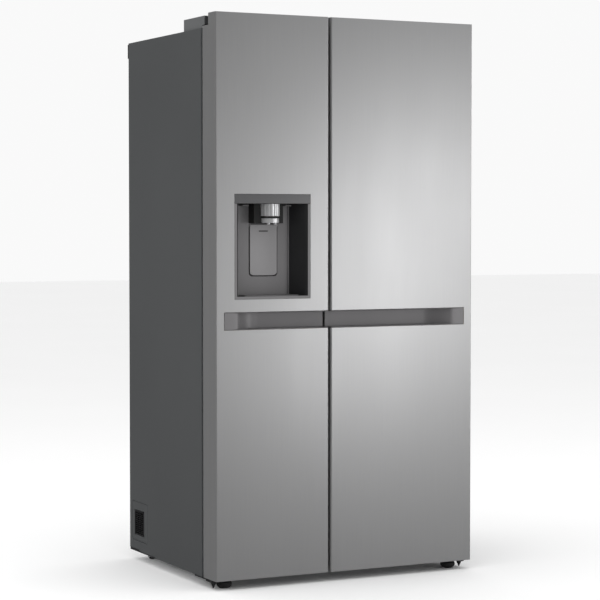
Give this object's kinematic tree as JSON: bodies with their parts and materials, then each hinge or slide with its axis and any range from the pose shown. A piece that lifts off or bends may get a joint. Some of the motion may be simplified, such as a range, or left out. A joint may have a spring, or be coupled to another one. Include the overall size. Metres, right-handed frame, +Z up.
{
  "type": "side by side refrigerator",
  "caption": "Side by side refrigerator with a freezer and a fridge behind full-height doors, a band of pocket handles, and an ice dispenser in the freezer door.",
  "frame": {"origin": "on the floor, under the centre of the overall box", "axes": "+X to the right across the doors, +Y from the doors to the back, +Z up"},
  "size_m": [0.912, 0.71, 1.77],
  "materials": {
    "steel_front": "satin brushed sheet",
    "case_paint": "fine textured dark grey paint",
    "black_plastic": "moulded",
    "black_steel": "black paint",
    "dark_grey_plastic": "satin moulded",
    "cap_plastic": "moulded",
    "liner_plastic": "vacuum formed, glossy",
    "foam": "blown foam",
    "clear_plastic": "clear moulded",
    "shelf_glass": "tempered",
    "zinc_sheet": "galvanised",
    "fin_aluminium": "bare",
    "chrome": "polished",
    "seal_rubber": "soft vinyl",
    "foot_rubber": "matt",
    "lamp_lens": "frosted"
  },
  "bodies": {
    "root": {"left_side_panel": "case_paint", "right_side_panel": "case_paint", "top_panel": "case_paint", "back_panel": "zinc_sheet", "bottom_pan": "zinc_sheet", "compressor_base": "zinc_sheet", "cabinet_insulation": "foam", "freezer_liner": "liner_plastic", "fridge_liner": "liner_plastic", "mullion_bar": "case_paint", "air_ducts": "liner_plastic", "evaporator": "fin_aluminium", "fan_motors": "zinc_sheet", "compressor": "black_steel", "condenser": "black_steel", "drip_pan": "black_plastic", "machine_cover": "black_plastic", "cord_gland": "black_plastic", "upper_hinges": "black_steel", "hinge_covers": "case_paint", "lower_hinges": "black_steel", "rear_spacers": "black_plastic", "glass_shelves": "shelf_glass", "shelf_trims": "liner_plastic", "shelf_rails": "liner_plastic", "ceiling_lamps": "lamp_lens", "side_vents": "black_plastic", "screws": "zinc_sheet"},
    "freezer_door": {"freezer_door_skin": "steel_front", "freezer_door_foam": "foam", "freezer_door_liner": "liner_plastic", "freezer_door_caps": "cap_plastic", "freezer_door_handle": "dark_grey_plastic", "freezer_door_gasket": "seal_rubber", "freezer_door_bins": "clear_plastic", "dispenser_housing": "dark_grey_plastic", "dispenser_display": "dark_grey_plastic", "dispenser_chute": "black_plastic", "dispenser_nozzle": "chrome", "ice_maker": "liner_plastic", "ice_bucket": "clear_plastic"},
    "fridge_door": {"fridge_door_skin": "steel_front", "fridge_door_foam": "foam", "fridge_door_liner": "liner_plastic", "fridge_door_caps": "cap_plastic", "fridge_door_handle": "dark_grey_plastic", "fridge_door_gasket": "seal_rubber", "fridge_door_bins": "clear_plastic"},
    "dispenser_paddle": {"dispenser_paddle": "dark_grey_plastic"},
    "ice_auger": {"ice_auger": "fin_aluminium"},
    "freezer_drawer_upper": {"freezer_drawer_upper": "clear_plastic"},
    "freezer_drawer_lower": {"freezer_drawer_lower": "clear_plastic"},
    "crisper_upper": {"crisper_upper": "clear_plastic"},
    "crisper_lower": {"crisper_lower": "clear_plastic"},
    "evaporator_fan": {"evaporator_fan": "black_plastic"},
    "condenser_fan": {"condenser_fan": "black_plastic"},
    "left_roller": {"left_roller": "foot_rubber"},
    "right_roller": {"right_roller": "foot_rubber"},
    "left_foot": {"left_foot": "foot_rubber"},
    "right_foot": {"right_foot": "foot_rubber"}
  },
  "joints": [
    {"name": "freezer_door_swing", "type": "hinge", "parent": "root", "child": "freezer_door", "pos_m": [-0.44, -0.282, 0.9], "axis": [0, 0, -1], "range_deg": [0, 105]},
    {"name": "fridge_door_swing", "type": "hinge", "parent": "root", "child": "fridge_door", "pos_m": [0.44, -0.282, 0.9], "axis": [0, 0, 1], "range_deg": [0, 105]},
    {"name": "paddle_press", "type": "hinge", "parent": "freezer_door", "child": "dispenser_paddle", "pos_m": [-0.26175, -0.283, 1.121], "axis": [1, 0, 0], "range_deg": [0, 3.4], "stiffness_Nm_per_rad": 0.8, "springref_deg": -8.59},
    {"name": "auger_turn", "type": "hinge", "parent": "freezer_door", "child": "ice_auger", "pos_m": [-0.26175, -0.198, 1.3], "axis": [1, 0, 0], "continuous": true},
    {"name": "freezer_drawer_upper_slide", "type": "slide", "parent": "root", "child": "freezer_drawer_upper", "axis": [0, -1, 0], "range_m": [0, 0.08]},
    {"name": "freezer_drawer_lower_slide", "type": "slide", "parent": "root", "child": "freezer_drawer_lower", "axis": [0, -1, 0], "range_m": [0, 0.08]},
    {"name": "crisper_upper_slide", "type": "slide", "parent": "root", "child": "crisper_upper", "axis": [0, -1, 0], "range_m": [0, 0.08]},
    {"name": "crisper_lower_slide", "type": "slide", "parent": "root", "child": "crisper_lower", "axis": [0, -1, 0], "range_m": [0, 0.08]},
    {"name": "evaporator_fan_spin", "type": "hinge", "parent": "root", "child": "evaporator_fan", "pos_m": [-0.25125, 0.239, 0.957], "axis": [0, 1, 0], "continuous": true},
    {"name": "condenser_fan_spin", "type": "hinge", "parent": "root", "child": "condenser_fan", "pos_m": [0.09, 0.25, 0.175], "axis": [1, 0, 0], "continuous": true},
    {"name": "left_roller_spin", "type": "hinge", "parent": "root", "child": "left_roller", "pos_m": [-0.396, 0.295, 0.013], "axis": [1, 0, 0], "continuous": true},
    {"name": "right_roller_spin", "type": "hinge", "parent": "root", "child": "right_roller", "pos_m": [0.396, 0.295, 0.013], "axis": [1, 0, 0], "continuous": true},
    {"name": "left_foot_screw", "type": "slide", "parent": "root", "child": "left_foot", "axis": [0, 0, -1], "range_m": [0, 0.008]},
    {"name": "right_foot_screw", "type": "slide", "parent": "root", "child": "right_foot", "axis": [0, 0, -1], "range_m": [0, 0.008]}
  ]
}
